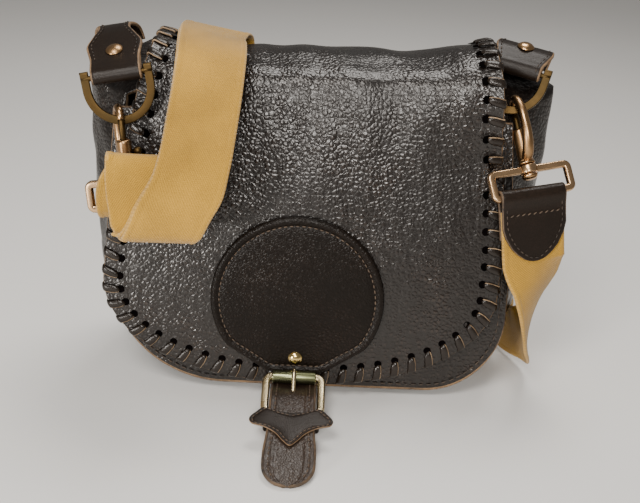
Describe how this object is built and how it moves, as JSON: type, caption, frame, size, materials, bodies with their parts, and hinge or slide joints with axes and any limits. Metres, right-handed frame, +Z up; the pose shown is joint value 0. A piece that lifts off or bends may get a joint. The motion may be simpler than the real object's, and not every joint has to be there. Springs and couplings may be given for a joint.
{
  "type": "leather shoulder bag",
  "caption": "Soft leather shoulder bag with a full front flap, round closing patch with buckle strap, and a webbing strap clipped to D-rings by snap hooks.",
  "frame": {"origin": "middle of the flat bottom, on the surface that the bag stands on", "axes": "+Z up, -Y to the front where the flap hangs, +X to the right seen from the front"},
  "size_m": [0.2994, 0.1963, 0.2245],
  "materials": {
    "pebbled_leather": "pebbled dark brown leather with a low sheen",
    "patch_leather": "fine grained dark brown leather",
    "brown_leather": "smooth worn brown leather with raw edges",
    "webbing": "mustard tan cotton webbing",
    "old_brass": "satin aged brass",
    "pale_brass": "polished pale brass",
    "copper_brass": "polished copper coloured brass"
  },
  "bodies": {
    "bag": {"front_panel": "pebbled_leather", "back_panel": "pebbled_leather", "gusset": "pebbled_leather", "flap": "pebbled_leather", "round_patch": "patch_leather", "closure_strap": "brown_leather", "buckle_chape": "brown_leather", "keeper": "brown_leather", "left_tab": "brown_leather", "right_tab": "brown_leather", "right_end_tab": "brown_leather", "shoulder_strap": "webbing", "left_dring": "old_brass", "right_dring": "old_brass", "buckle_roller": "old_brass", "buckle_frame": "pale_brass", "buckle_prong": "pale_brass", "left_loop": "pale_brass", "right_loop": "pale_brass", "patch_stud": "pale_brass", "left_hook": "copper_brass", "right_hook": "copper_brass", "left_rivet": "copper_brass", "right_rivet": "copper_brass"},
    "left_bolt": {"left_bolt": "old_brass"},
    "right_bolt": {"right_bolt": "old_brass"}
  },
  "joints": [
    {"name": "left_bolt_slide", "type": "slide", "parent": "bag", "child": "left_bolt", "axis": [0.1032, -0.1564, -0.9823], "range_m": [0, 0.007], "stiffness_N_per_m": 250, "springref_m": -0.004},
    {"name": "right_bolt_slide", "type": "slide", "parent": "bag", "child": "right_bolt", "axis": [0.2363, -0.5782, -0.7809], "range_m": [0, 0.007], "stiffness_N_per_m": 250, "springref_m": -0.004}
  ]
}
